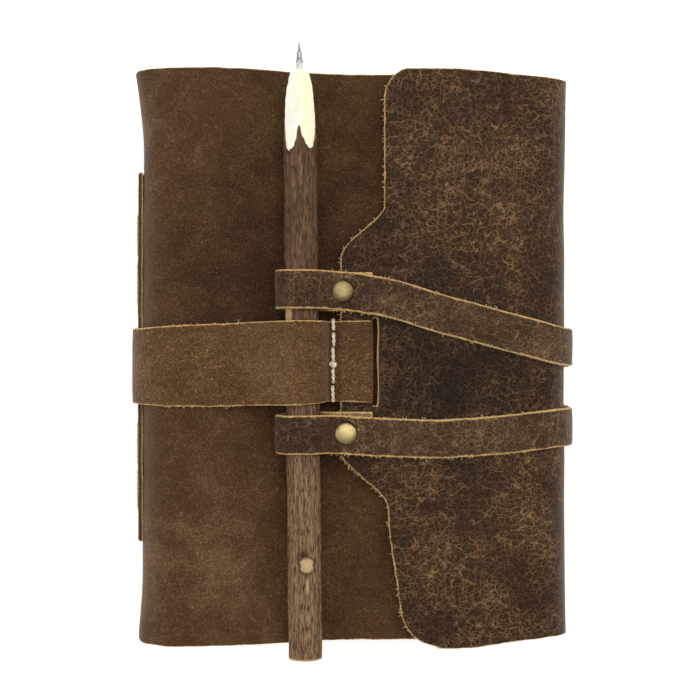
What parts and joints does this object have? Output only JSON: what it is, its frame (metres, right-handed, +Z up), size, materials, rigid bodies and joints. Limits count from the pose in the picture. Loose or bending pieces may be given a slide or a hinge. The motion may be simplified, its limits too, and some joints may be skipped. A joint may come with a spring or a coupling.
{
  "type": "leather wrap journal",
  "caption": "Leather-covered journal with a fore-edge flap, tied shut by a wrap strap whose two riveted ties loop round a twig pen.",
  "frame": {"origin": "middle of the closed journal's box, on the face it lies on", "axes": "+X from the spine to the fore-edge, +Y up the page, +Z up through the thickness from back cover to front"},
  "size_m": [0.1394, 0.188, 0.041],
  "materials": {
    "cover_leather": "waxed pull-up, dark brown",
    "strap_leather": "waxed pull-up, mid brown",
    "patch_leather": "waxed pull-up, dark brown",
    "waxed_thread": "waxed linen thread",
    "leaves": "uncoated cream paper",
    "antique_brass": "antiqued, low gloss",
    "carved_wood": "bare carved wood",
    "bark": "natural bark, lightly waxed",
    "refill_plastic": "translucent tube",
    "refill_steel": "plain steel"
  },
  "bodies": {
    "book": {"back_cover": "cover_leather", "spine_cover": "cover_leather", "spine_patch": "patch_leather", "binding_thread": "waxed_thread", "section_1": "leaves", "section_2": "leaves", "section_3": "leaves", "section_4": "leaves", "section_5": "leaves", "section_6": "leaves"},
    "fore_edge": {"fore_edge_wall": "cover_leather"},
    "flap": {"flap": "cover_leather", "strap_front": "strap_leather", "strap_stitches": "waxed_thread"},
    "front_fold": {"front_fold": "cover_leather"},
    "front": {"front_cover": "cover_leather"},
    "strap_spine": {"strap_spine": "strap_leather"},
    "strap_back": {"strap_back": "strap_leather"},
    "strap_edge": {"strap_upper_edge": "strap_leather", "strap_lower_edge": "strap_leather"},
    "upper_tie": {"upper_tie": "strap_leather", "upper_rivet_cap": "antique_brass", "upper_rivet_base": "antique_brass"},
    "lower_tie": {"lower_tie": "strap_leather", "lower_rivet_cap": "antique_brass", "lower_rivet_base": "antique_brass"},
    "pen": {"pen_wood": "carved_wood", "pen_bark": "bark", "refill_tube": "refill_plastic", "refill_tip": "refill_steel", "refill_ball": "refill_steel"}
  },
  "joints": [
    {"name": "wrap_open", "type": "hinge", "parent": "book", "child": "fore_edge", "pos_m": [0.0657, -0.00215, 0.002], "axis": [0, 1, 0], "range_deg": [0, 88]},
    {"name": "flap_fold", "type": "hinge", "parent": "fore_edge", "child": "flap", "pos_m": [0.0657, -0.00215, 0.02914], "axis": [0, 1, 0], "range_deg": [0, 85.5], "deforming": ["strap_front", "strap_stitches"]},
    {"name": "front_fold", "type": "hinge", "parent": "book", "child": "front_fold", "pos_m": [-0.0659, -0.00215, 0.03114], "axis": [0, -1, 0], "range_deg": [0, 99.5], "deforming": ["front_fold"]},
    {"name": "front_cover_fold", "type": "hinge", "parent": "front_fold", "child": "front", "pos_m": [-0.0609, -0.00215, 0.03114], "axis": [0, -1, 0], "range_deg": [0, 99.5], "deforming": ["front_cover"]},
    {"name": "strap_spine_fold", "type": "hinge", "parent": "flap", "child": "strap_spine", "pos_m": [-0.0679, -0.004, 0.03134], "axis": [0, 1, 0], "range_deg": [0, 96.5], "deforming": ["strap_spine"]},
    {"name": "strap_back_fold", "type": "hinge", "parent": "strap_spine", "child": "strap_back", "pos_m": [-0.0679, -0.004, 0.0019], "axis": [0, 1, 0], "range_deg": [0, 92.4], "deforming": ["strap_back"]},
    {"name": "strap_edge_fold", "type": "hinge", "parent": "strap_back", "child": "strap_edge", "pos_m": [0.0679, -0.0114, 0.0019], "axis": [0, 1, 0], "range_deg": [0, 87.6], "deforming": ["strap_upper_edge", "strap_lower_edge"]},
    {"name": "upper_tie_fold", "type": "hinge", "parent": "strap_edge", "child": "upper_tie", "pos_m": [0.0679, 0.0006, 0.03134], "axis": [0, 1, 0], "range_deg": [0, 90], "deforming": ["upper_tie", "upper_rivet_cap", "upper_rivet_base"]},
    {"name": "lower_tie_fold", "type": "hinge", "parent": "strap_edge", "child": "lower_tie", "pos_m": [0.0679, -0.0234, 0.03134], "axis": [0, 1, 0], "range_deg": [0, 90], "deforming": ["lower_tie", "lower_rivet_cap", "lower_rivet_base"]},
    {"name": "pen_draw", "type": "slide", "parent": "book", "child": "pen", "axis": [0, -1, 0], "range_m": [-0.028, 0.13]}
  ],
  "couplings": [
    {"joint": "flap_fold", "follows": "wrap_open", "ratio": 0.97159},
    {"joint": "front_fold", "follows": "wrap_open", "ratio": 1.1307},
    {"joint": "front_cover_fold", "follows": "wrap_open", "ratio": 1.1307},
    {"joint": "strap_spine_fold", "follows": "wrap_open", "ratio": 1.0966},
    {"joint": "strap_back_fold", "follows": "wrap_open", "ratio": 1.05},
    {"joint": "strap_edge_fold", "follows": "wrap_open", "ratio": 0.99545},
    {"joint": "upper_tie_fold", "follows": "wrap_open", "ratio": 1.0227},
    {"joint": "lower_tie_fold", "follows": "wrap_open", "ratio": 1.0227}
  ]
}
